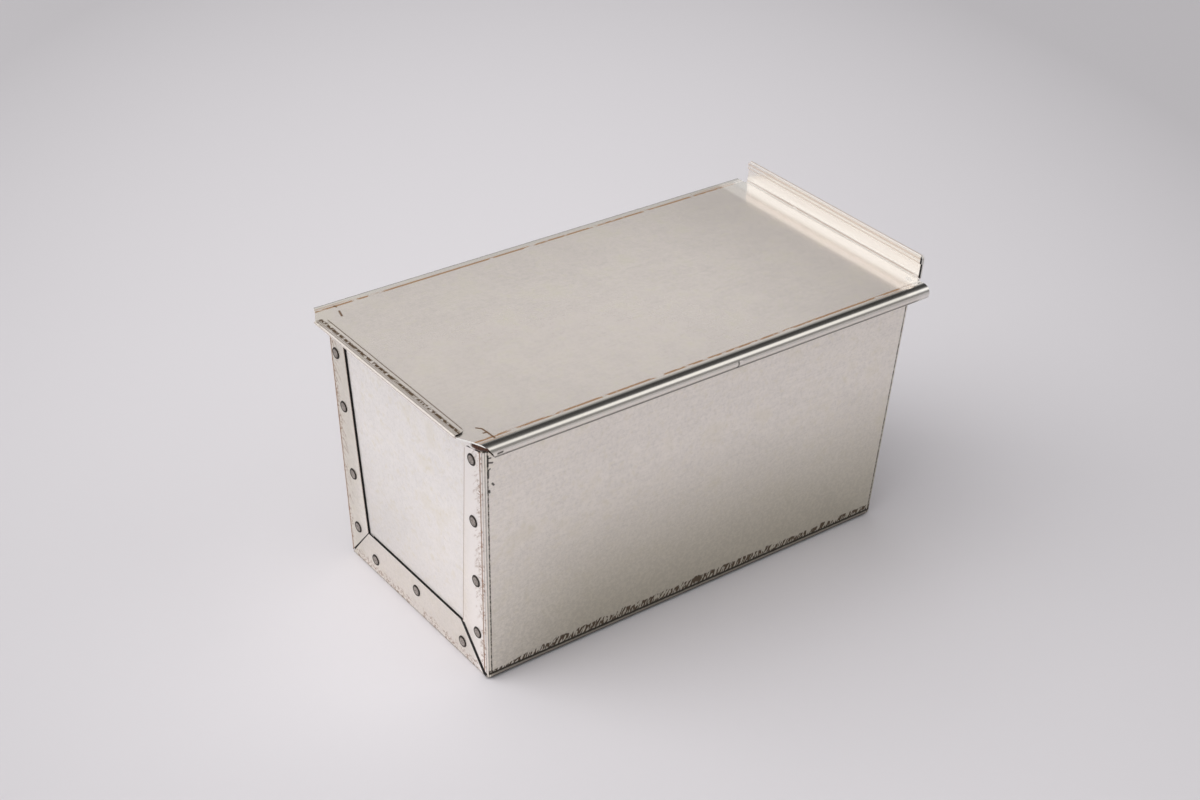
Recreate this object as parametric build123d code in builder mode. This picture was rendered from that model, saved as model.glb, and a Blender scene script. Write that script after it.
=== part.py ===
"""Pullman loaf pan with a sliding lid, in millimetres.

+X runs along the pan towards the lid's turned-up lip, +Y across it and +Z up.
The origin is the middle of the base, on the surface that the pan stands on.
The near end is the one at -X, and the far end the one at +X.
"""

import os
from math import atan, cos, degrees, sin

from build123d import *

# Pan, over the outside of the sheet: at its base, and at the top of its rolled rim
base_length = 200.0
base_width = 101.6
rim_length = 210.3
rim_width = 109.5
rim_height = 113.8

# Trough sheet and its folds
sheet = 0.6
fold_radius = 1.3  # inside of every fold
corner_drop = 6.0  # from the rim's top to the top of the folded corners

# End flanges, folded from the trough over the end plates
bottom_flange = 18.9
side_flange_low = 16.5  # width where it meets the bottom flange
side_flange_high = 12.1  # width at its top
flange_drop = 8.7  # from the rim's top to the top of the flange's free edge
flange_corner = 3.0
mitre_inner = 0.35  # gap between the flanges at its inner end
mitre_outer = 0.9  # and at the corner of the base

# Rolled rim over its wire
wire_diameter = 3.4
wire_fit = 0.05
wire_corner = 3.4  # bend of the wire's centre line at the corners
side_rim_setback = 5.5  # from the wire's corner to the end of a long rolled rim
end_rim_setback = 4.0  # and to the end of a short one
curl_angle = 295.0

# End plates
plate_sheet = 0.6
plate_edge = 0.5  # rounding that lets the plate's edge into the fold
plate_fit = 0.05  # to the flanges and to the folds

# Rivets
rivet_diameter = 2.5
rivet_fit = 0.05
rivet_head = 5.0
rivet_head_height = 0.3
rivet_head_slant = 0.2
rivet_tail = 4.2
rivet_tail_height = 0.5
rivet_tail_slant = 0.3

# Where the rivets sit, as (share of the flange's width, share of the rim's height) on
# the side flanges, and (share of half the base, share of the flange) on the bottom one
left_row_shares = ((0.50, 0.153), (0.59, 0.386), (0.52, 0.658), (0.43, 0.866))
right_row_shares = ((0.38, 0.178), (0.42, 0.400), (0.52, 0.645), (0.60, 0.890))
bottom_row_shares = ((-0.60, 0.43), (0.02, 0.65), (0.67, 0.44))

# Lid
lid_sheet = 0.6
lid_gap = 0.3  # above and below the rolled rim
side_play = 2.35  # between the rolled rim and the side of the channel
return_gap = 0.6  # between the channel's lower edge and the side of the pan
near_overhang = 4.9  # hem past the near rim
far_overhang = 0.3  # lip past the far rim
hem_half = 48.9
hem_width = 5.2
hem_gap = 0.1
hem_corner = 3.0
corner_cut = 6.6  # how far the hem stands out past the outside of the channels
channel_slant = 3.8  # how far a channel's lower edge falls back at the near end
channel_setback = 1.3  # from the lip to the channels' far end
channel_corner = 2.0

# Near corners of the lid, as (share of corner_cut, share of the lid's half width)
corner_shares = ((0.33, 0.841), (0.64, 0.901), (0.82, 0.948), (1.0, 1.0))

# Lip
lip_half = 54.4
lip_height = 10.2
lip_lean = 0.7
lip_fold = 1.0  # inside of the fold, on the lid's upper face
lip_hem = 3.7
lip_clip = 1.2

overrun = 5.0  # how far a cutting shape passes through what it cuts

# Slopes of the pan's walls, which lean outward
end_slope = (rim_length - base_length) / 2 / rim_height
side_slope = (rim_width - base_width) / 2 / rim_height
end_lean = atan(end_slope)
side_lean = atan(side_slope)


def half_length(height, inset=0.0):
    """Half the pan's length at a height, to a face set in from the outside."""
    return base_length / 2 + end_slope * height - inset / cos(end_lean)


def half_width(height, inset=0.0):
    """Half the pan's width at a height, to a face set in from the outside."""
    return base_width / 2 + side_slope * height - inset / cos(side_lean)


# Sizes that follow from those above
fold_outer = fold_radius + sheet
corner_top = rim_height - corner_drop
flange_top = rim_height - flange_drop
curl_inner = wire_diameter / 2 + wire_fit
curl_outer = curl_inner + sheet
curl_middle = curl_inner + sheet / 2
wire_height = rim_height - curl_outer
plate_inset = sheet + plate_fit
wire_half_x = half_length(wire_height, plate_inset) + curl_inner / cos(end_lean)
wire_half_y = half_width(wire_height) + curl_inner / cos(side_lean)
side_rim_half = wire_half_x - side_rim_setback
end_rim_half = wire_half_y - end_rim_setback
plate_gap = fold_radius - plate_edge + plate_fit
lid_under = rim_height + lid_gap
lid_top = lid_under + lid_sheet
lid_middle = lid_under + lid_sheet / 2
channel_radius = curl_outer + lid_gap + lid_sheet
lid_half = wire_half_y + curl_outer + side_play + lid_sheet
channel_bottom = lid_top - 2 * channel_radius
hem_edge = -(wire_half_x + curl_outer + near_overhang)
lip_base = wire_half_x + curl_outer + far_overhang
channel_near = hem_edge + corner_cut
channel_far = lip_base - channel_setback

# The outside of each end as a plane, seen from outside, with its x to the right
near_plane = Plane((-base_length / 2, 0, 0), x_dir=(0, -1, 0), z_dir=(-cos(end_lean), 0, -sin(end_lean)))
far_plane = Plane((base_length / 2, 0, 0), x_dir=(0, 1, 0), z_dir=(cos(end_lean), 0, -sin(end_lean)))
end_planes = (near_plane, far_plane)


def side_flange(height):
    """Width of a side flange at a height."""
    rise = (height - bottom_flange) / (flange_top - bottom_flange)
    return side_flange_low + (side_flange_high - side_flange_low) * rise


def side_rivet(across_share, height_share, side):
    """Place of a side rivet on the end's plane: side is -1 on the left, 1 on the right."""
    height = height_share * rim_height
    return (side * (half_width(height) - across_share * side_flange(height)), height)


left_row = [side_rivet(across, height, -1) for across, height in left_row_shares]
right_row = [side_rivet(across, height, 1) for across, height in right_row_shares]
bottom_row = [(along * base_width / 2, up * bottom_flange) for along, up in bottom_row_shares]


def rolled_rim(foot, lean):
    """Sheet's middle line, up a wall that leans outward from its foot and round the wire."""
    up = Vector(sin(lean), cos(lean))
    out = Vector(cos(lean), -sin(lean))
    wall_top = foot + up * ((wire_height - out.Y * curl_middle - foot.Y) / up.Y)
    wall_line = Line(foot, wall_top)
    JernArc(wall_line @ 1, up, curl_middle, -curl_angle)


def block_outline(half, low, high, inset=0.0):
    """Corners of a block with leaning sides, in side view: half gives its half size at a height."""
    foot = half(low, inset)
    top = half(high, inset)
    return [(-foot, low), (foot, low), (top, high), (-top, high)]


# Trough: the space inside it, cut out of the outer block
with BuildPart() as trough_space:
    with BuildSketch(Plane.XZ):
        with BuildLine():
            Polyline(*block_outline(half_length, sheet, rim_height, sheet), close=True)
        make_face()
    extrude(amount=rim_width, both=True)
    with BuildSketch(Plane.YZ):
        with BuildLine():
            Polyline(*block_outline(half_width, sheet, rim_height, sheet), close=True)
        make_face()
    extrude(amount=rim_length, both=True, mode=Mode.INTERSECT)
    space_top = trough_space.faces().sort_by(Axis.Z)[-1]
    fillet(trough_space.edges() - space_top.edges(), radius=fold_radius)

with BuildPart() as trough:
    with BuildSketch(Plane.XZ):
        with BuildLine():
            Polyline(*block_outline(half_length, 0, corner_top), close=True)
        make_face()
    extrude(amount=rim_width, both=True)
    with BuildSketch(Plane.YZ):
        with BuildLine():
            Polyline(*block_outline(half_width, 0, corner_top), close=True)
        make_face()
    extrude(amount=rim_length, both=True, mode=Mode.INTERSECT)
    block_top = trough.faces().sort_by(Axis.Z)[-1]
    fillet(trough.edges() - block_top.edges(), radius=fold_outer)
    add(trough_space.part, mode=Mode.SUBTRACT)

    # Long rims, rolled outward over the wire and cut back at the corners
    with BuildSketch(Plane.YZ):
        with BuildLine():
            foot_height = corner_top - sheet
            rolled_rim(Vector(half_width(foot_height, sheet / 2), foot_height), side_lean)
        trace(line_width=sheet)
        mirror(about=Plane.YZ)
    extrude(amount=side_rim_half, both=True)

    # Each end is open between its flanges, which are split along a mitre
    window_low = half_width(bottom_flange) - side_flange_low
    window_high = half_width(flange_top) - side_flange_high
    corner_half = half_width(corner_top)
    with BuildSketch(*end_planes):
        with BuildLine():
            Polyline(
                (-window_low, bottom_flange),
                (window_low, bottom_flange),
                (window_high, flange_top),
                (corner_half, corner_top),
                (corner_half, corner_top + overrun),
                (-corner_half, corner_top + overrun),
                (-corner_half, corner_top),
                (-window_high, flange_top),
                close=True,
            )
        window = make_face()
        fillet(window.vertices().group_by(Axis.Y)[1], radius=flange_corner)
    extrude(amount=fold_outer, both=True, mode=Mode.SUBTRACT)

    mitre_start = Vector(window_low, bottom_flange)
    mitre_end = Vector(base_width / 2, 0)
    mitre_run = (mitre_end - mitre_start).normalized()
    mitre_side = Vector(-mitre_run.Y, mitre_run.X)
    with BuildSketch(*end_planes):
        with BuildLine():
            Polyline(
                mitre_start - mitre_run * mitre_outer + mitre_side * mitre_inner / 2,
                mitre_end + mitre_run * overrun + mitre_side * mitre_outer / 2,
                mitre_end + mitre_run * overrun - mitre_side * mitre_outer / 2,
                mitre_start - mitre_run * mitre_outer - mitre_side * mitre_inner / 2,
                close=True,
            )
        make_face()
        mirror(about=Plane.YZ)
    extrude(amount=fold_outer, both=True, mode=Mode.SUBTRACT)

    with BuildSketch(*end_planes):
        with Locations(*left_row, *right_row, *bottom_row):
            Circle(rivet_diameter / 2 + rivet_fit)
    extrude(amount=fold_outer, both=True, mode=Mode.SUBTRACT)

# End plate, inside the flanges, with its top rolled outward over the wire
with BuildPart() as far_end_plate:
    plate_foot = sheet + plate_gap
    with BuildSketch(Plane.XZ):
        with BuildLine():
            foot = Vector(half_length(plate_foot, plate_inset + plate_sheet / 2), plate_foot)
            rolled_rim(foot, end_lean)
        trace(line_width=plate_sheet)
    extrude(amount=base_width, both=True)
    with BuildSketch(far_plane):
        with BuildLine():
            foot_half = half_width(plate_foot, sheet + plate_gap)
            shoulder_half = half_width(corner_top, sheet + plate_gap)
            Polyline(
                (-foot_half, plate_foot),
                (foot_half, plate_foot),
                (shoulder_half, corner_top),
                (end_rim_half, corner_top),
                (end_rim_half, rim_height + overrun),
                (-end_rim_half, rim_height + overrun),
                (-end_rim_half, corner_top),
                (-shoulder_half, corner_top),
                close=True,
            )
        make_face()
    extrude(amount=2 * overrun, both=True, mode=Mode.INTERSECT)
    flat_faces = far_end_plate.faces().filter_by(GeomType.PLANE).sort_by(SortBy.AREA)[-2:]
    outer_face = flat_faces.sort_by(Axis.X)[-1]
    fillet(outer_face.edges().sort_by(Axis.Z)[:3], radius=plate_edge)
    with BuildSketch(far_plane):
        with Locations(*left_row, *right_row, *bottom_row):
            Circle(rivet_diameter / 2 + rivet_fit)
    extrude(amount=2 * overrun, both=True, mode=Mode.SUBTRACT)

with BuildPart() as near_end_plate:
    with Locations(Location((0, 0, 0), (0, 0, 180))):
        add(far_end_plate.part)

# Rim wire, one loop inside the rolled rims that shows at the cut-back corners
with BuildPart() as rim_wire:
    with BuildLine(Plane.XY.offset(wire_height)) as wire_path:
        FilletPolyline(
            (wire_half_x, -wire_half_y),
            (wire_half_x, wire_half_y),
            (-wire_half_x, wire_half_y),
            (-wire_half_x, -wire_half_y),
            radius=wire_corner,
            close=True,
        )
    wire_line = wire_path.wires()[0]
    with BuildSketch(Plane(wire_line @ 0, z_dir=wire_line % 0)):
        Circle(wire_diameter / 2)
    sweep(path=wire_line)

# Rivet: a flat head outside, a shank through both sheets and a low tail inside
with BuildPart() as rivet:
    grip = plate_inset + plate_sheet
    with BuildSketch(Plane.XZ):
        with BuildLine():
            Polyline(
                (0, rivet_head_height),
                (rivet_head / 2 - rivet_head_slant, rivet_head_height),
                (rivet_head / 2, 0),
                (rivet_diameter / 2, 0),
                (rivet_diameter / 2, -grip),
                (rivet_tail / 2, -grip),
                (rivet_tail / 2 - rivet_tail_slant, -grip - rivet_tail_height),
                (0, -grip - rivet_tail_height),
                close=True,
            )
        make_face()
    revolve(axis=Axis.Z)


def rivet_places(plane, row):
    """Where the rivets of a row stand on an end's plane."""
    return [plane.location * Location((*place, 0)) for place in row]


# Lid: the flat and its two channels in section, cut to length in side view
with BuildPart() as lid_blank:
    return_height = channel_bottom + lid_sheet / 2
    return_edge = half_width(channel_bottom) + return_gap
    with BuildSketch(Plane.YZ):
        with BuildLine():
            flat = Line((0, lid_middle), (lid_half - channel_radius, lid_middle))
            bend = JernArc(flat @ 1, flat % 1, channel_radius - lid_sheet / 2, -180)
            Line(bend @ 1, (return_edge, return_height))
        trace(line_width=lid_sheet)
        mirror(about=Plane.YZ)
    extrude(amount=rim_length, both=True)
    flat_near = hem_edge + lid_sheet + hem_gap / 2
    with BuildSketch(Plane.XZ) as side_outline:
        with BuildLine():
            Polyline(
                (flat_near, lid_top),
                (flat_near, lid_under),
                (channel_near, lid_under),
                (channel_near + channel_slant, channel_bottom),
                (channel_far, channel_bottom),
                (channel_far, lid_top),
                close=True,
            )
        make_face()
        lower_far = side_outline.vertices().group_by(Axis.Y)[0].sort_by(Axis.X)[-1]
        fillet(lower_far, radius=channel_corner)
    extrude(amount=rim_width, both=True, mode=Mode.INTERSECT)

# Near corners of the lid, clipped in plan
with BuildPart() as corner_clips:
    clip_points = [(hem_edge + depth * corner_cut, across * lid_half) for depth, across in corner_shares]
    with BuildSketch(Plane.XY.offset(lid_under - overrun)):
        with BuildLine():
            Polyline(
                (hem_edge - overrun, hem_half),
                (flat_near, hem_half),
                *clip_points,
                (channel_near, lid_half + overrun),
                (hem_edge - overrun, lid_half + overrun),
                close=True,
            )
        make_face()
        mirror(about=Plane.XZ)
    extrude(amount=3 * overrun)

# Hem at the near end, folded back on top of the lid
with BuildPart() as near_hem:
    fold_middle = (lid_sheet + hem_gap) / 2
    with BuildSketch(Plane.XZ):
        with BuildLine():
            root = Line((flat_near + lid_sheet, lid_middle), (flat_near, lid_middle))
            turn = JernArc(root @ 1, root % 1, fold_middle, -180)
            Line(turn @ 1, (hem_edge + hem_width, lid_middle + 2 * fold_middle))
        trace(line_width=lid_sheet)
    extrude(amount=hem_half, both=True)
    flap_corners = near_hem.edges().filter_by(Axis.Z).group_by(Axis.X)[-1]
    fillet(flap_corners, radius=hem_corner)

# Lip at the far end, folded up, with its hem turned towards the lid
with BuildPart() as lip:
    lip_angle = degrees(atan(lip_lean / lip_height))
    fold_size = lip_fold + lid_sheet / 2
    lip_up = Vector(lip_lean, lip_height).normalized()
    lip_out = Vector(lip_up.Y, -lip_up.X)
    lip_foot = Vector(lip_base, lid_top) + lip_out * lid_sheet / 2
    lip_corner = lip_foot - lip_up * ((lip_foot.Y - lid_middle) / lip_up.Y)
    lip_reach = (lid_top + lip_height - lid_sheet - hem_gap / 2 - lid_middle) / lip_up.Y
    with BuildSketch(Plane.XZ):
        with BuildLine():
            face = FilletPolyline(
                (channel_far - lid_sheet, lid_middle),
                lip_corner,
                lip_corner + lip_up * lip_reach,
                radius=fold_size,
            )
            turn = JernArc(face @ 1, face % 1, fold_middle, 180)
            Line(turn @ 1, turn @ 1 - lip_up * (lip_hem - lid_sheet))
        trace(line_width=lid_sheet)
    extrude(amount=lip_half, both=True)
    with BuildSketch(Plane.YZ):
        with BuildLine():
            Polyline(
                (-lip_half, lid_under - overrun),
                (lip_half, lid_under - overrun),
                (lip_half, lid_top + lip_height - lip_clip),
                (lip_half - lip_clip, lid_top + lip_height),
                (lip_clip - lip_half, lid_top + lip_height),
                (-lip_half, lid_top + lip_height - lip_clip),
                close=True,
            )
        make_face()
    extrude(amount=rim_length, both=True, mode=Mode.INTERSECT)

with BuildPart() as lid:
    add(lid_blank.part)
    add(corner_clips.part, mode=Mode.SUBTRACT)
    add(near_hem.part)
    add(lip.part)

# Rivet rows, the same on both ends as seen from outside
rows = {"left": left_row, "right": right_row, "bottom": bottom_row}
rivet_rows = {}
for end_name, end_plane in (("near", near_plane), ("far", far_plane)):
    for row_name, row in rows.items():
        with BuildPart() as rivet_row:
            with Locations(*rivet_places(end_plane, row)):
                add(rivet.part)
        rivet_rows[f"{end_name}_{row_name}_rivets"] = rivet_row.part

trough.part.label = "trough"
near_end_plate.part.label = "near_end_plate"
far_end_plate.part.label = "far_end_plate"
rim_wire.part.label = "rim_wire"
lid.part.label = "lid"

os.makedirs("parts", exist_ok=True)
export_step(trough.part, "parts/trough.step")
export_step(near_end_plate.part, "parts/near_end_plate.step")
export_step(far_end_plate.part, "parts/far_end_plate.step")
export_step(rim_wire.part, "parts/rim_wire.step")
export_step(lid.part, "parts/lid.step")
for row_label, row_part in rivet_rows.items():
    row_part.label = row_label
    export_step(row_part, f"parts/{row_label}.step")
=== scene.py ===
"""Pullman loaf pan with a sliding lid: finishes, marks, light and camera.

Metres, in the part's own frame: +X along the pan towards the lid's lip, +Y across it, +Z up.
Marks are placed in millimetres on the surfaces of the sheet metal.
"""

from math import cos, radians, sin

import bpy
from mathutils import Matrix, Vector

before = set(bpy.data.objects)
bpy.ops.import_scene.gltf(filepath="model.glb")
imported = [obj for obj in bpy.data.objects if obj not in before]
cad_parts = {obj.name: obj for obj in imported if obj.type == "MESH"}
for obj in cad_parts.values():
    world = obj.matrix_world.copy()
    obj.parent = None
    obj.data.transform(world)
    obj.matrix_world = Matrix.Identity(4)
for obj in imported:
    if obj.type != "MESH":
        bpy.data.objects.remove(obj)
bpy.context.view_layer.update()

# Sizes of the pan, in millimetres
base_half_length = 100.0
base_half_width = 50.8
rim_height = 113.8
end_slope = 5.15 / rim_height
side_slope = 3.95 / rim_height
bottom_flange = 18.9  # height of the bottom flanges
side_flange_low = 16.5  # width of a side flange at the bottom one
side_flange_high = 12.1
flange_top = 105.1
lid_top = 114.7
lid_bend = 56.0  # from the middle of the lid to the bend of a channel
channel_side = 61.7
hem_free = -108.2  # the hem's free edge on the lid
hem_half = 48.9
lip_base = 108.8
lip_half = 54.4
lip_top = 124.9
lip_hem = 121.2  # lower edge of the lip's hem

# Places of the marks, in millimetres
skin = (0.45, 0.25)  # depths under the trough's outer faces that are off and on a face
bend_line = 2.0  # from an edge of the trough to the end of its bend
foot_line = 2.85  # height of the dark line at the foot of the long sides
gap_end = -32.0  # where the gap over a bottom flange starts, across the pan
channel_foot = 110.1  # height of the channels' lower bends
hem_stripes = ((-112.5, 0.62), (-111.7, 0.68))  # place along the pan and strength
hem_dashes = -110.7
dent_x, dent_z = 7.9, 111.0
rivet_rim = (1.55, 1.90)  # radii where the dark rim of a head begins and is full

# Reliefs: depths in metres, and two larger forms as multiples of the lid's
trough_relief = 0.000004
end_relief = 0.000006
lid_relief = 0.000012
wire_relief = 0.00005
rivet_relief = 0.00003
channel_drop = 34.0
dent_drop = 10.0

# Burnished channels
rolled_gloss = 0.16
rolled_metal = 0.97

# Camera: the photo's viewpoint, for a frame of 3 to 2
camera_azimuth = radians(-37.6998)
camera_elevation = radians(31.6497)
camera_roll = radians(2.0681)
camera_distance = 0.82035
camera_target = Vector((-0.00703, 0.00544, 0.06577))
camera_lens = 60.092
camera_sensor = 36.0


class Field:
    """A number at each point of a surface, worked out by nodes; arithmetic adds Math nodes."""

    def __init__(self, tree, socket):
        self.tree = tree
        self.socket = socket

    def math(self, operation, *others):
        node = self.tree.nodes.new("ShaderNodeMath")
        node.operation = operation
        for slot, value in zip(node.inputs, (self, *others)):
            feed(self.tree, slot, value)
        return Field(self.tree, node.outputs[0])

    def __add__(self, other):
        return self.math("ADD", other)

    __radd__ = __add__

    def __sub__(self, other):
        return self.math("SUBTRACT", other)

    def __rsub__(self, other):
        return self.math("MULTIPLY", -1.0).math("ADD", other)

    def __mul__(self, other):
        return self.math("MULTIPLY", other)

    __rmul__ = __mul__

    def __abs__(self):
        return self.math("ABSOLUTE")

    def least(self, other):
        return self.math("MINIMUM", other)

    def most(self, other):
        return self.math("MAXIMUM", other)

    def step(self, start, end):
        """0 at start and 1 at end, with a smooth passage between them."""
        node = self.tree.nodes.new("ShaderNodeMapRange")
        node.interpolation_type = "SMOOTHSTEP"
        node.inputs["From Min"].default_value = start
        node.inputs["From Max"].default_value = end
        feed(self.tree, node.inputs["Value"], self)
        return Field(self.tree, node.outputs["Result"])

    def band(self, centre, half, soft):
        """1 within half of centre, falling to 0 over soft."""
        return abs(self - centre).step(half + soft, half)


def feed(tree, slot, value):
    """Links a field or a socket to a slot, or sets the slot's own value."""
    if isinstance(value, Field):
        tree.links.new(value.socket, slot)
    elif isinstance(value, bpy.types.NodeSocket):
        tree.links.new(value, slot)
    else:
        slot.default_value = value


class Surface:
    """A material's tree, with the place of each point in millimetres."""

    def __init__(self, name, metallic, roughness):
        self.material = bpy.data.materials.new(name)
        self.material.use_nodes = True
        self.tree = self.material.node_tree
        self.shader = self.tree.nodes["Principled BSDF"]
        self.shader.inputs["Metallic"].default_value = metallic
        self.shader.inputs["Roughness"].default_value = roughness
        coordinates = self.tree.nodes.new("ShaderNodeTexCoord")
        self.place = coordinates.outputs["Object"]
        self.x, self.y, self.z = (axis * 1000.0 for axis in self.split(self.place))
        self.facing = self.split(coordinates.outputs["Normal"])

    def split(self, vector):
        node = self.tree.nodes.new("ShaderNodeSeparateXYZ")
        feed(self.tree, node.inputs[0], vector)
        return [Field(self.tree, output) for output in node.outputs]

    def join(self, x, y, z):
        node = self.tree.nodes.new("ShaderNodeCombineXYZ")
        for slot, value in zip(node.inputs, (x, y, z)):
            feed(self.tree, slot, value)
        return node.outputs[0]

    def noise(self, size, detail, rough, seed, vector=None, stretch=(1, 1, 1)):
        """Noise from 0 to 1 around 0.5, whose lumps are about size millimetres."""
        if vector is None:
            place = (self.x, self.y, self.z)
            vector = self.join(*(axis * (1.0 / (size * s)) for axis, s in zip(place, stretch)))
        node = self.tree.nodes.new("ShaderNodeTexNoise")
        node.noise_dimensions = "4D"
        feed(self.tree, node.inputs["Vector"], vector)
        node.inputs["W"].default_value = seed
        node.inputs["Scale"].default_value = 1.0
        node.inputs["Detail"].default_value = detail
        node.inputs["Roughness"].default_value = rough
        return Field(self.tree, node.outputs["Fac"])

    def mix(self, share, first, second):
        """Colour from first to second by share."""
        node = self.tree.nodes.new("ShaderNodeMix")
        node.data_type = "RGBA"
        feed(self.tree, node.inputs["Factor"], share)
        feed(self.tree, node.inputs["A"], first)
        feed(self.tree, node.inputs["B"], second)
        return node.outputs["Result"]

    def bump(self, height, distance):
        """Relief of height times distance, in metres."""
        node = self.tree.nodes.new("ShaderNodeBump")
        node.inputs["Distance"].default_value = distance
        feed(self.tree, node.inputs["Height"], height)
        feed(self.tree, self.shader.inputs["Normal"], node.outputs["Normal"])

    def scuff(self, along, across, width, dash, cover, seed):
        """A ragged broken line: along and across are in millimetres, cover is how much is left."""
        side = self.x * 0.003 + self.y * 0.011
        lane = self.join(along * (1.0 / dash), across * (0.5 / width), side)
        broken = self.noise(1.0, 3.0, 0.6, seed, lane).step(0.62 - 0.3 * cover, 0.70 - 0.3 * cover)
        wander = self.noise(1.0, 2.0, 0.5, seed + 3.0, self.join(along * 0.15, 0.0, 0.0)) - 0.5
        line = (across + wander * (0.5 * width)).band(0.0, width * 0.4, width * 0.4)
        return line * broken

    def strokes(self, across, up, points, width):
        """A line through points, with across and up as its two coordinates."""
        nearest = None
        for (u0, v0), (u1, v1) in zip(points, points[1:]):
            run_u, run_v = u1 - u0, v1 - v0
            squared = run_u * run_u + run_v * run_v
            share = (across - u0) * (run_u / squared) + (up - v0) * (run_v / squared)
            share = share.most(0.0).least(1.0)
            off_u = across - u0 - share * run_u
            off_v = up - v0 - share * run_v
            distance = (off_u * off_u + off_v * off_v).math("SQRT")
            nearest = distance if nearest is None else nearest.least(distance)
        return nearest.step(width * 0.75, width * 0.25)


def rgb(red, green, blue):
    return (red, green, blue, 1.0)


steel_cool = rgb(1.0, 0.96, 0.925)
steel_warm = rgb(1.0, 0.94, 0.87)
steel_lid = rgb(0.905, 0.824, 0.768)
steel_lip = rgb(0.915, 0.880, 0.838)
steel_rolled = rgb(0.88, 0.86, 0.79)
lip_painted_reflection = rgb(1.0, 0.94, 0.88)
steel_dull = rgb(0.62, 0.58, 0.53)
mottle_dark = rgb(0.30, 0.29, 0.27)
yellowed = rgb(0.86, 0.80, 0.68)
olive_darkening = rgb(0.56, 0.525, 0.43)
tarnish_dark = rgb(0.22, 0.21, 0.18)
foot_painted_shade = rgb(0.27, 0.245, 0.195)
end_shade = rgb(0.45, 0.42, 0.39)
lid_painted_shade = rgb(0.34, 0.31, 0.28)
lid_far_painted_shade = rgb(0.36, 0.32, 0.28)
hem_shade = rgb(0.30, 0.26, 0.22)
rust = rgb(0.27, 0.135, 0.070)
soot = rgb(0.026, 0.019, 0.013)
cut_dark = rgb(0.004, 0.003, 0.003)
bend_brown = rgb(0.42, 0.24, 0.125)
channel_brown = rgb(0.36, 0.20, 0.10)
fold_brown = rgb(0.13, 0.09, 0.05)
hem_brown = rgb(0.100, 0.058, 0.026)
hem_dark = rgb(0.070, 0.036, 0.010)
tick_brown = rgb(0.140, 0.072, 0.030)
foot_brown = rgb(0.080, 0.050, 0.027)
rubbed_grey = rgb(0.30, 0.25, 0.20)
clipped_painted_highlight = rgb(0.95, 0.93, 0.90)
wire_dark = rgb(0.030, 0.012, 0.007)
wire_brown = rgb(0.14, 0.055, 0.026)
rivet_dark = rgb(0.21, 0.18, 0.16)
rivet_grey = rgb(0.50, 0.45, 0.41)
rivet_ring = rgb(0.030, 0.023, 0.018)


def sheet_metal(name, seed, steel, gloss, contrast, metal):
    """Satin aluminised sheet: fine mottle, cloudy patches and faint rolling lines."""
    surface = Surface(name, metal, gloss)
    grain = surface.noise(1.5, 4.0, 0.60, seed)
    fleck = surface.noise(0.45, 2.0, 0.5, seed + 1.7)
    cloud = surface.noise(14.0, 3.0, 0.6, seed + 4.1)
    rolling = surface.noise(0.5, 2.0, 0.5, seed + 7.3, stretch=(60, 1, 1))
    tone = (grain - 0.5) * 0.7 + (fleck - 0.5) * 0.35 + (rolling - 0.5) * 0.25
    shade = tone.step(0.16, -0.30) * (0.20 * contrast) + cloud.step(0.6, 0.4) * 0.05
    colour = surface.mix(shade, steel, mottle_dark)
    patch = surface.noise(3.0, 3.0, 0.6, seed + 9.0)
    warm = cloud.step(0.50, 0.72) * 0.45 + patch.step(0.52, 0.68) * 0.45
    colour = surface.mix(warm, colour, yellowed)
    surface.rough = gloss + (grain - 0.5) * 0.10 + (cloud - 0.5) * 0.04
    surface.height = grain * 0.6 + fleck * 0.3 + rolling * 0.25
    surface.colour = colour
    surface.metal = metal
    return surface


def tint(surface, share, colour):
    """Shifts the colour of the bare metal, which stays as shiny as it was."""
    surface.colour = surface.mix(share, surface.colour, colour)


def mark(surface, share, colour, roughness=0.6, metal=0.2):
    """Lays a mark of a colour over the sheet, which is duller than the metal."""
    surface.colour = surface.mix(share, surface.colour, colour)
    surface.rough = surface.rough * (1.0 - share) + share * roughness
    surface.metal = surface.metal * (1.0 - share) + share * metal


def matt(surface, share, colour):
    """A mark of soot or rust, which doesn't shine at all."""
    mark(surface, share, colour, roughness=0.85, metal=0.0)


def black(surface, share):
    """A gap or a cut edge, which looks black."""
    mark(surface, share, cut_dark, roughness=0.8, metal=0.0)


def finish(surface, relief):
    """Links what has been laid up to the shader."""
    feed(surface.tree, surface.shader.inputs["Base Color"], surface.colour)
    feed(surface.tree, surface.shader.inputs["Roughness"], surface.rough)
    feed(surface.tree, surface.shader.inputs["Metallic"], surface.metal)
    surface.bump(surface.height, relief)
    return surface.material


def hand(s):
    """Above 0 on the right half of each end as seen from outside, below 0 on the left half."""
    return s.x * s.y


def flange_edge(height):
    """How far in from the pan's side the free edge of a side flange is, at a height."""
    slope = (side_flange_high - side_flange_low) / (flange_top - bottom_flange)
    return height * slope + (side_flange_low - slope * bottom_flange)


def mitre(s):
    """Distance from the mitre between the side and bottom flanges."""
    inner = base_half_width + side_slope * bottom_flange - side_flange_low
    run_y, run_z = base_half_width - inner, -bottom_flange
    length = (run_y * run_y + run_z * run_z) ** 0.5
    off = (abs(s.y) - inner) * (run_z / length) - (s.z - bottom_flange) * (run_y / length)
    return abs(off)


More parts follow.
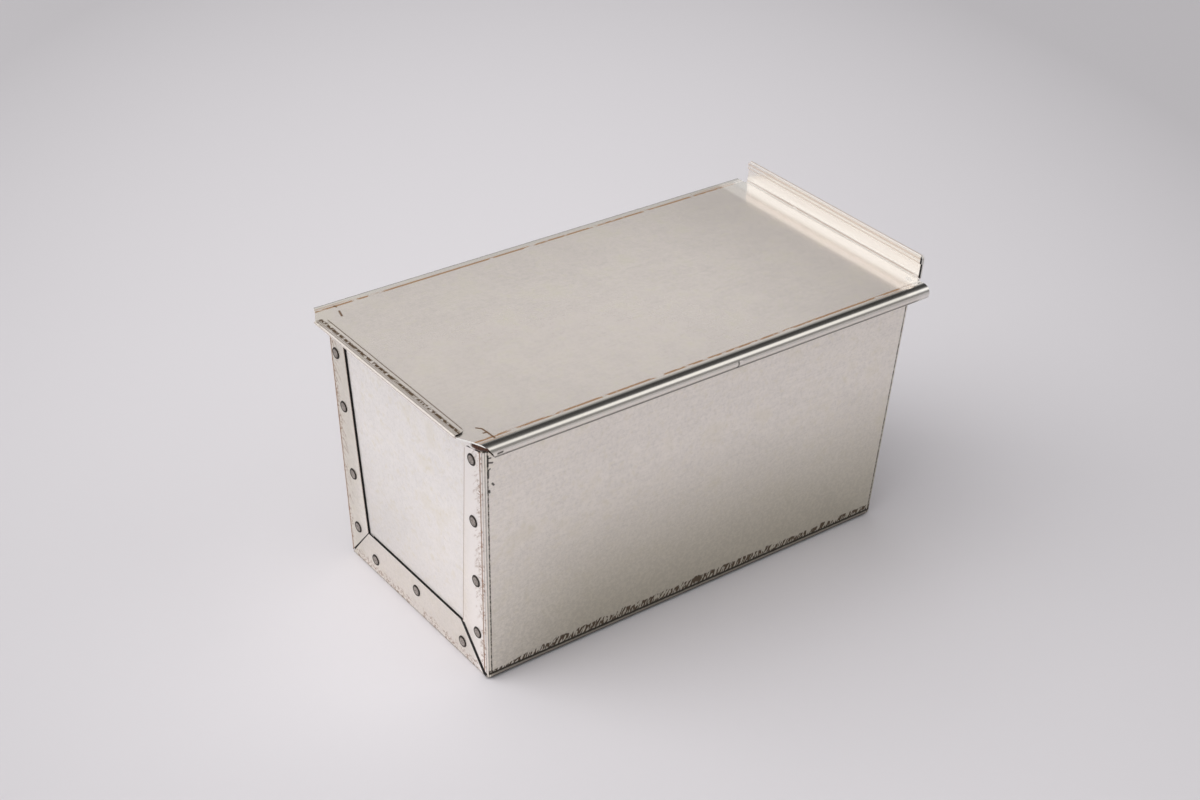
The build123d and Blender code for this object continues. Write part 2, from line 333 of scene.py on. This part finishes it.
def trough_finish():
    s = sheet_metal("pan_sheet", 2.0, steel_warm, gloss=0.32, contrast=1.4, metal=0.80)
    half_length = s.z * end_slope + base_half_length
    half_width = s.z * side_slope + base_half_width
    from_side = half_width - abs(s.y)
    from_end = half_length - abs(s.x)
    on_side = from_side.step(*skin)
    on_end = from_end.step(*skin)

    # Long sides: painted shade, darker and yellower towards the foot and least at the near corner;
    # more mottled towards the foot too
    low = s.z.step(85.0, 2.0)
    along = s.x.step(-110.0, -45.0) * 0.6 + 0.4
    tint(s, low * along * on_side * 0.90, olive_darkening)
    mottle = s.noise(1.3, 4.0, 0.65, 3.0).step(0.60, 0.42)
    tint(s, mottle * low * on_side * 0.16, tarnish_dark)
    # Ends: the left flanges darker and yellower, the right ones paler, the bottom flanges greyer
    tint(s, hand(s).step(-3500.0, -4600.0) * on_end * 0.34, olive_darkening)
    tint(s, hand(s).step(3500.0, 4600.0) * on_end * 0.8, steel_cool)
    tint(s, s.z.step(22.0, 17.0) * abs(s.y).step(48.0, 40.0) * on_end * 0.36, steel_dull)

    # Foot of the long sides: a dark line with smudged strokes standing on it, and painted shade on
    # the bend below it down to the floor
    lane = s.join(s.x * 0.95 - s.z * 0.34, s.z * 0.26, s.y * 0.02)
    strokes = s.noise(1.0, 1.0, 0.6, 5.0, lane).step(0.455, 0.510)
    reach = s.noise(1.0, 2.0, 0.6, 6.0, s.join(s.x * 0.16, 0.0, s.y * 0.02)) * 5.6 + 0.4
    tall = s.x.step(-100.0, -62.0) * 0.75 - s.x.step(20.0, 60.0) * 0.25 + 0.35
    smudge = strokes * (s.z - 3.0 - reach * tall).step(0.4, -0.2) * s.z.step(2.4, 2.8)
    matt(s, smudge * on_side * 0.97, foot_brown)
    outer = s.facing[2].step(0.5, 0.2)
    foot_side = from_end.step(2.2, 2.8) * from_side.step(3.2, 2.6) * outer
    # Painted shade on the lower bend: olive under the dark line
    tint(s, s.z.step(2.7, 2.3) * foot_side * 0.75, foot_painted_shade)
    ragged = s.noise(1.0, 3.0, 0.6, 8.0, s.join(s.x * 0.7, s.z * 0.2, s.y * 0.02)) - 0.5
    matt(s, (s.z + ragged * 0.7).band(foot_line, 0.42, 0.25) * on_side * 0.97, soot)
    # Painted shade: black where the bend meets the floor
    matt(s, s.z.step(1.5, 1.0) * foot_side * 0.97, soot)

    # Lines of the upright folds. For each: the face that carries it, the distance by which it
    # is placed and its place; its width, dash, cover and seed; its strength and colour
    folds = (
        (on_end, from_side, bend_line, (0.60, 1.6, 1.25, 11.0), 0.85, rust),
        (on_end, from_side, 1.0, (0.34, 9.0, 1.2, 12.0), 0.35, soot),
        (on_side, from_end, bend_line, (0.44, 4.0, 1.3, 14.0), 0.62, fold_brown),
        (on_side, from_end, bend_line, (0.52, 1.3, 0.56, 15.0), 0.85, soot),
        (on_side, from_end, 0.95, (0.36, 6.0, 0.9, 17.0), 0.50, soot),
    )
    for face, inward, place, line, strength, colour in folds:
        mark(s, s.scuff(s.z, inward - place, *line) * face * strength, colour)
    hatch = s.join(s.z * 0.55 + from_side * 0.5, from_side * 0.25, s.x * 0.003)
    rubbed = s.noise(1.0, 3.0, 0.6, 18.0, hatch).step(0.50, 0.66) * from_side.band(4.2, 1.6, 2.0)
    mark(s, rubbed * on_end * s.z.step(24.0, 34.0) * 0.44, rust)

    # Dark ticks at the top of the upright folds
    ticks = (
        ((2.15, 105.8), (2.10, 101.4), 0.8),
        ((2.1, 104.9), (3.4, 104.7), 0.6),
        ((2.1, 103.0), (4.1, 102.4), 0.7),
        ((2.25, 99.4), (2.2, 96.2), 0.8),
        ((2.3, 99.6), (3.0, 100.0), 0.6),
        ((3.9, 93.2), (4.5, 92.4), 0.8),
        ((2.5, 90.4), (2.6, 89.7), 0.9),
    )
    near_corner = hand(s).step(2000.0, 4000.0)
    for *line, width in ticks:
        mark(s, s.strokes(from_end, s.z, line, width) * on_side * near_corner * 0.9, soot)

    # Rubbed brown specks along the outer bends of the flanges
    speck = s.noise(1.3, 3.0, 0.65, 21.0).step(0.48, 0.58)
    haze = s.noise(5.0, 2.0, 0.5, 23.0).step(0.38, 0.58)
    side_rub = from_side.band(2.2, 0.8, 2.4) * on_end
    foot_rub = s.z.band(2.6, 1.0, 3.4) * on_end
    mark(s, speck * haze * side_rub.most(foot_rub) * 0.72, rust)
    mark(s, s.scuff(s.y, s.z - 1.5, 0.5, 5.0, 1.2, 27.0) * on_end * 0.5, soot)
    mark(s, s.scuff(s.z, from_side - 0.6, 0.5, 2.0, 1.0, 29.0) * on_end * 0.45, rust)

    # Thin brown line along the free edges of the side flanges
    edge_line = from_side - flange_edge(s.z) + 0.25
    above_bottom = s.z.step(bottom_flange, bottom_flange + 1.0)
    mark(s, s.scuff(s.z, edge_line, 0.34, 1.5, 1.3, 30.0) * on_end * above_bottom * 0.6, rust)

    # Black at the mitres: their cut faces, widened by painted shadow beside them; painted shade
    # under the near corner where it meets the floor; black cut edges of the flanges
    right = hand(s).step(2000.0, 3500.0)
    wide = right + (1.0 - right) * s.z.step(14.0, 2.0) * 0.26 + 0.16
    beside_bottom = s.z.step(bottom_flange + 0.5, bottom_flange + 0.2)
    # The mitres' cut faces, with painted shadow beside them as wide as the gap looks
    black(s, (mitre(s) - wide).step(0.15, -0.1) * on_end * beside_bottom)
    # Painted shade under the near corner, where it meets the floor
    under_corner = s.z.step(1.2, 0.8) * from_end.step(6.0, 3.0) * from_side.step(5.0, 3.0)
    mark(s, under_corner * near_corner * outer * 0.96, cut_dark)
    edge_on = abs(s.facing[0]).step(0.5, 0.3) * from_end.step(1.2, 0.9) * from_side.step(2.1, 2.3)
    black(s, edge_on * s.z.step(2.1, 2.3))
    return finish(s, trough_relief)


def end_finish():
    s = sheet_metal("end_sheet", 31.0, steel_cool, gloss=0.33, contrast=1.0, metal=0.66)

    # Darker low down and on the left
    which_end = s.x.math("SIGN")
    left_low = s.z.step(75.0, 18.0) * ((s.y * which_end).step(45.0, -30.0) * 0.7 + 0.3)
    tint(s, left_low * 0.29, end_shade)

    # Painted shadow: black strips on the plate beside the flanges' edges and behind the mitres, as
    # wide as the gaps look from outside
    outside = (s.facing[0] * which_end).step(0.8, 0.95)
    inward = s.z * side_slope + base_half_width - abs(s.y) - flange_edge(s.z)
    left = hand(s).step(-1000.0, -2500.0) * s.z.step(bottom_flange - 0.5, bottom_flange)
    beside = inward.step(0.95, 0.70) * left
    above = (s.z - bottom_flange).step(0.70, 0.50) * (s.y * which_end).step(gap_end, gap_end + 0.5)
    behind_mitre = mitre(s).step(0.8, 0.6) * s.z.step(bottom_flange + 0.4, bottom_flange)
    black(s, beside.most(above).most(behind_mitre) * outside)
    return finish(s, end_relief)


def lid_finish():
    s = sheet_metal("lid_sheet", 47.0, steel_lid, gloss=0.19, contrast=0.9, metal=0.72)
    upper = s.facing[2].step(0.3, 0.6)
    flat = upper * s.z.step(lid_top + 0.2, lid_top + 0.05)

    # Painted shade: a lighter middle, darker towards the edges and towards the far end
    off_x = (s.x + 10.0) * 0.01
    off_y = (s.y + 15.0) * 0.016
    tint(s, (off_x * off_x + off_y * off_y).least(1.6) * flat * 0.15, lid_painted_shade)
    tint(s, s.x.step(25.0, 105.0) * s.x.step(100.0, 94.0) * flat * 0.20, lid_far_painted_shade)

    # Rolled channels: burnished, with painted shade on their undersides and rust-brown broken lines
    # along their bends
    rolled = abs(s.y).step(lid_bend + 0.9, lid_bend + 1.7)
    tint(s, rolled * 0.5, steel_rolled)
    s.rough = s.rough * (1.0 - rolled) + rolled * rolled_gloss
    s.metal = s.metal * (1.0 - rolled) + rolled * rolled_metal
    s.height = s.height - s.y.step(-lid_bend - 1.3, -lid_bend - 4.2) * channel_drop
    # Painted shade along the channels' undersides
    mark(s, s.z.step(channel_foot + 0.5, channel_foot) * abs(s.y).step(59.5, 60.2) * 0.7, soot)
    bend = abs(s.y) - lid_bend
    mark(s, s.scuff(s.x, bend, 0.90, 6.0, 0.80, 50.0) * upper * 0.95, channel_brown)
    second = s.x.step(-88.0, -100.0).most(s.x.step(72.0, 90.0))
    mark(s, s.scuff(s.x, bend - 1.5, 0.55, 4.0, 0.9, 51.0) * second * upper * 0.6, bend_brown)

    # Hem: thin stripes, brown dashes and the dark line of its free edge
    on_hem = upper * s.z.step(lid_top + 0.2, lid_top + 0.4) * s.x.step(hem_free + 1.0, hem_free)
    for place, strength in hem_stripes:
        stripe = s.scuff(s.y, s.x - place, 0.34, 7.0, 1.0, 53.0 - place)
        mark(s, stripe * on_hem * strength, hem_brown)
    tint(s, s.x.step(-112.9, -112.6) * on_hem * 0.20, hem_shade)
    matt(s, s.scuff(s.y, s.x - hem_dashes, 1.05, 1.6, 0.74, 55.0) * on_hem * 0.98, hem_dark)
    mark(s, s.scuff(s.y, s.x - hem_dashes - 0.6, 0.6, 1.5, 0.6, 56.0) * on_hem * 0.6, hem_brown)
    free_edge = s.scuff(s.y, s.x - hem_free + 0.2, 0.42, 8.0, 1.35, 57.0)
    mark(s, free_edge * on_hem * 0.85, hem_brown)
    stain = s.noise(2.0, 3.0, 0.6, 58.0).step(0.46, 0.56) * s.y.step(41.0, 48.0)
    mark(s, stain * on_hem * 0.6, hem_brown)

    # Black cut edges of the hem's flap and of the lip's ends, and a painted highlight on the cut
    # edges of the clipped corners
    upright = abs(s.facing[2]).step(0.5, 0.3)
    hem_side = upright * s.z.band(lid_top + 0.4, 0.6, 0.1) * s.x.band(hem_free - 2.0, 2.3, 0.2)
    black(s, hem_side * abs(s.y).step(hem_half - 3.0, hem_half - 2.0))
    lip_side = abs(s.facing[1]).step(0.6, 0.8) * s.z.step(lid_top + 0.1, lid_top + 0.3)
    black(s, lip_side * s.x.step(lip_base - 6.0, lip_base - 3.0))
    # Painted highlight on the clipped corners' cut edges
    clipped = s.facing[0].step(-0.2, -0.4) * upright * s.x.step(-100.0, -102.0)
    clipped = clipped * abs(s.y).step(hem_half + 0.3, hem_half + 0.6)
    mark(s, clipped, clipped_painted_highlight, roughness=0.5, metal=0.0)

    # Ticks near the ends of the bends, on the lid and on the channel's side
    ticks = (
        ((-100.3, 56.3), (-99.9, 55.2)),
        ((-100.6, 51.8), (-101.7, 47.8)),
        ((-103.3, -48.1), (-101.9, -49.6), (-101.6, -52.5), (-101.4, -56.9)),
        ((-103.0, -52.3), (-101.6, -52.5)),
        ((104.9, -50.6), (103.9, -52.2)),
        ((105.9, -51.6), (104.6, -53.4)),
    )
    for line in ticks:
        matt(s, s.strokes(s.x, s.y, line, 0.85) * flat * 0.95, tick_brown)
    side_mark = s.strokes(s.x, s.z, ((-103.1, 111.2), (-101.2, 111.3)), 0.8)
    mark(s, side_mark * abs(s.y).step(channel_side - 1.0, channel_side - 0.5) * 0.85, soot)

    # A small dent in the near channel
    dent = s.strokes(s.x, s.z, ((6.6, 109.9), (7.1, 111.2), (6.9, 112.4)), 0.7)
    mark(s, dent * s.y.step(-channel_side + 1.2, -channel_side + 0.6) * 0.75, soot)
    off_x, off_z = s.x - dent_x, s.z - dent_z
    hollow = (off_x * off_x + off_z * off_z).step(2.6, 0.4) * s.y.step(-50.0, -58.0)
    s.height = s.height - hollow * dent_drop

    # Lip: paler than the lid, with a painted reflection of it on the lid just before it, brown
    # lines along its hem and a rubbed line in its fold
    on_lip = s.facing[0].step(-0.5, -0.8) * s.x.step(lip_base - 3.0, lip_base - 1.5)
    by_lip = s.x.step(99.5, 104.0)
    # Painted reflection of the lip on the lid before it
    tint(s, s.x.band(98.5, 1.5, 2.5) * flat * 0.50, lip_painted_reflection)
    tint(s, by_lip * 0.9, steel_lip)
    mark(s, s.z.step(lip_top - 0.3, lip_top - 0.1) * s.x.step(lip_base - 3.0, lip_base) * 0.4, rust)
    mark(s, s.scuff(s.y, s.z - (lip_top - 1.6), 0.60, 30.0, 1.5, 60.0) * on_lip * 0.40, bend_brown)
    mark(s, s.scuff(s.y, s.z - (lip_hem + 0.3), 0.30, 25.0, 1.4, 62.0) * on_lip * 0.40, bend_brown)
    brushed = s.noise(1.0, 2.0, 0.6, 66.0, s.join(s.y * 0.02, s.z * 0.9, 0.0)).step(0.45, 0.65)
    mark(s, brushed * on_lip * 0.07, bend_brown)
    fold_line = (s.x - lip_base) + (s.z - lid_top) - 0.4
    in_fold = s.x.step(lip_base - 3.0, lip_base - 2.0) * s.z.step(lid_top + 3.0, lid_top + 2.5)
    worn = s.y.step(54.0, 30.0) * 0.7 + 0.3
    mark(s, s.scuff(s.y, fold_line, 1.1, 6.0, 0.95, 64.0) * in_fold * worn * 0.45, rubbed_grey)
    mark(s, s.scuff(s.y, fold_line, 0.4, 9.0, 1.1, 65.0) * in_fold * 0.45, rust)
    # The lip's black cut ends, with painted shadow carried onto its front face beside them
    black(s, on_lip * s.y.step(1.1 - lip_half, 0.85 - lip_half))
    return finish(s, lid_relief)


def wire_finish():
    s = Surface("rim_wire", metallic=0.3, roughness=0.5)
    grain = s.noise(0.8, 4.0, 0.6, 61.0)
    s.colour = s.mix(grain.step(0.35, 0.65), wire_dark, wire_brown)
    feed(s.tree, s.shader.inputs["Base Color"], s.colour)
    s.bump(grain, wire_relief)
    return s.material


def islands(mesh):
    """Centres of the separate solids of a mesh, in metres."""
    parent = list(range(len(mesh.vertices)))

    def root(item):
        while parent[item] != item:
            parent[item] = parent[parent[item]]
            item = parent[item]
        return item

    for edge in mesh.edges:
        parent[root(edge.vertices[0])] = root(edge.vertices[1])
    groups = {}
    for vertex in mesh.vertices:
        groups.setdefault(root(vertex.index), []).append(vertex.co)
    return [sum(group, Vector()) / len(group) for group in groups.values()]


def rivet_finish(name, centres):
    s = Surface(name, metallic=0.8, roughness=0.5)
    nearest = None
    for centre in centres:
        node = s.tree.nodes.new("ShaderNodeVectorMath")
        node.operation = "DISTANCE"
        feed(s.tree, node.inputs[0], s.place)
        node.inputs[1].default_value = centre
        distance = Field(s.tree, node.outputs["Value"]) * 1000.0
        nearest = distance if nearest is None else nearest.least(distance)
    grain = s.noise(0.6, 3.0, 0.6, 71.0)
    face = s.mix(grain.step(0.35, 0.65), rivet_dark, rivet_grey)
    s.colour = s.mix(nearest.step(*rivet_rim), face, rivet_ring)
    feed(s.tree, s.shader.inputs["Base Color"], s.colour)
    s.bump(grain, rivet_relief)
    return s.material


def dress(node, material):
    """Gives a CAD node one material in all its slots."""
    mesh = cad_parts[node].data
    mesh.materials.clear()
    mesh.materials.append(material)


dress("trough", trough_finish())
end_material = end_finish()
for node in ("near_end_plate", "far_end_plate"):
    dress(node, end_material)
dress("lid", lid_finish())
dress("rim_wire", wire_finish())
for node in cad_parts:
    if node.endswith("_rivets"):
        dress(node, rivet_finish(f"{node}_finish", islands(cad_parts[node].data)))


# Floor, with painted shade that darkens it a little away from the pan
floor_colour = rgb(0.76, 0.733, 0.76)
floor_black = rgb(0.0, 0.0, 0.0)
floor_reach = 500.0  # where x and y are 1 in the falloff, in millimetres
floor_darkest = 0.30
fall_xx, fall_xy, fall_yy, fall_x, fall_y = 0.34, -0.244, 0.196, -0.051, -0.016


def floor_finish():
    s = Surface("floor", metallic=0.0, roughness=0.9)
    x = s.x * (1.0 / floor_reach)
    y = s.y * (1.0 / floor_reach)
    # Painted shade: darker away from the pan
    falloff = x * x * fall_xx + x * y * fall_xy + y * y * fall_yy + x * fall_x + y * fall_y
    s.colour = s.mix(falloff.most(0.0).least(floor_darkest), floor_colour, floor_black)
    feed(s.tree, s.shader.inputs["Base Color"], s.colour)
    s.shader.inputs["Specular IOR Level"].default_value = 0.2
    return s.material


floor_half = 6.0  # in metres, as all of the floor's mesh
floor_level = -0.0002
floor_mesh = bpy.data.meshes.new("floor")
square = ((-1, -1), (1, -1), (1, 1), (-1, 1))
corners = [(floor_half * x, floor_half * y, floor_level) for x, y in square]
floor_mesh.from_pydata(corners, [], [(0, 1, 2, 3)])
floor = bpy.data.objects.new("floor", floor_mesh)
bpy.context.scene.collection.objects.link(floor)
floor_mesh.materials.append(floor_finish())


# World: an even pale studio with brighter and darker parts, each given by its azimuth,
# elevation, inner and outer radius in degrees, and strength
studio_lobes = (
    (52.0, 31.0, 8.0, 28.0, 0.33),
    (20.0, 52.0, 14.0, 30.0, -0.235),
    (-42.0, 38.0, 6.0, 22.0, 0.80),
    (148.0, 36.0, 10.0, 40.0, 1.03),
    (165.0, 76.0, 12.0, 36.0, 1.32),
    (90.0, 25.0, 10.0, 32.0, 0.38),
    (205.0, 35.0, 15.0, 45.0, 0.76),
)
studio_level = 0.26


def studio_world():
    world = bpy.data.worlds.new("studio")
    world.use_nodes = True
    tree = world.node_tree
    background = tree.nodes["Background"]
    coordinates = tree.nodes.new("ShaderNodeTexCoord")

    def towards(azimuth, elevation, inner, outer):
        """1 within inner degrees of a direction, 0 past outer degrees."""
        a, e = radians(azimuth), radians(elevation)
        node = tree.nodes.new("ShaderNodeVectorMath")
        node.operation = "DOT_PRODUCT"
        tree.links.new(coordinates.outputs["Generated"], node.inputs[0])
        node.inputs[1].default_value = (cos(e) * cos(a), cos(e) * sin(a), sin(e))
        return Field(tree, node.outputs["Value"]).step(cos(radians(outer)), cos(radians(inner)))

    level = studio_level
    for azimuth, elevation, inner, outer, strength in studio_lobes:
        level = towards(azimuth, elevation, inner, outer) * strength + level
    feed(tree, background.inputs["Strength"], level.most(0.0))
    background.inputs["Color"].default_value = rgb(1.0, 1.0, 1.0)
    bpy.context.scene.world = world


studio_world()


def area_light(name, azimuth, elevation, distance, width, height, power):
    """A soft rectangular lamp that faces the pan."""
    data = bpy.data.lights.new(name, "AREA")
    data.shape = "RECTANGLE"
    data.size = width
    data.size_y = height
    data.energy = power
    lamp = bpy.data.objects.new(name, data)
    lamp.visible_glossy = False  # the studio world gives the reflections
    a, e = radians(azimuth), radians(elevation)
    direction = Vector((cos(e) * cos(a), cos(e) * sin(a), sin(e)))
    turn = direction.to_track_quat("Z", "Y").to_matrix().to_4x4()
    lamp.matrix_world = Matrix.Translation(direction * distance) @ turn
    bpy.context.scene.collection.objects.link(lamp)


area_light(
    "key", azimuth=148.0, elevation=36.0, distance=1.3, width=1.0, height=0.8, power=3.75
)


def photo_camera():
    data = bpy.data.cameras.new("camera")
    data.lens = camera_lens
    data.sensor_width = camera_sensor
    data.sensor_fit = "HORIZONTAL"
    data.dof.use_dof = False
    camera = bpy.data.objects.new("camera", data)
    back = Vector((
        sin(camera_azimuth) * cos(camera_elevation),
        -cos(camera_azimuth) * cos(camera_elevation),
        sin(camera_elevation),
    ))
    level = Vector((cos(camera_azimuth), sin(camera_azimuth), 0.0))
    upright = back.cross(level)
    right = level * cos(camera_roll) + upright * sin(camera_roll)
    up = upright * cos(camera_roll) - level * sin(camera_roll)
    turn = Matrix((right, up, back)).transposed().to_4x4()
    camera.matrix_world = Matrix.Translation(camera_target + back * camera_distance) @ turn
    bpy.context.scene.collection.objects.link(camera)
    bpy.context.scene.camera = camera


photo_camera()
bpy.context.scene.view_settings.view_transform = "Standard"
